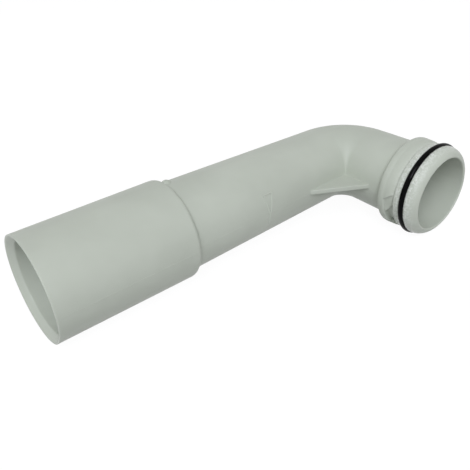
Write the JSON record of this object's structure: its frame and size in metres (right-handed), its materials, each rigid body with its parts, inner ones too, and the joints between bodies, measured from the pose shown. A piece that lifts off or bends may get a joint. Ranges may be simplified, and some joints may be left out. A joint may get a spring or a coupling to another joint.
{
  "type": "macerator outlet bend",
  "caption": "Moulded right-angle outlet bend with a long pipe socket, a web across its inside corner and a sealed bayonet spigot.",
  "frame": {"origin": "on the spigot's axis, at the front face of the collar that the bayonet seats against", "axes": "-Y along the spigot's axis out of its end, -X along the long leg's axis out of the socket mouth, +Z square to the plane of the bend"},
  "size_m": [0.2168, 0.0926, 0.05],
  "materials": {
    "moulding": "semi-matt moulded polypropylene, pale grey-white",
    "seal": "smooth moulded rubber, black"
  },
  "bodies": {
    "root": {"bend_body": "moulding", "seal_ring": "seal"}
  },
  "joints": []
}
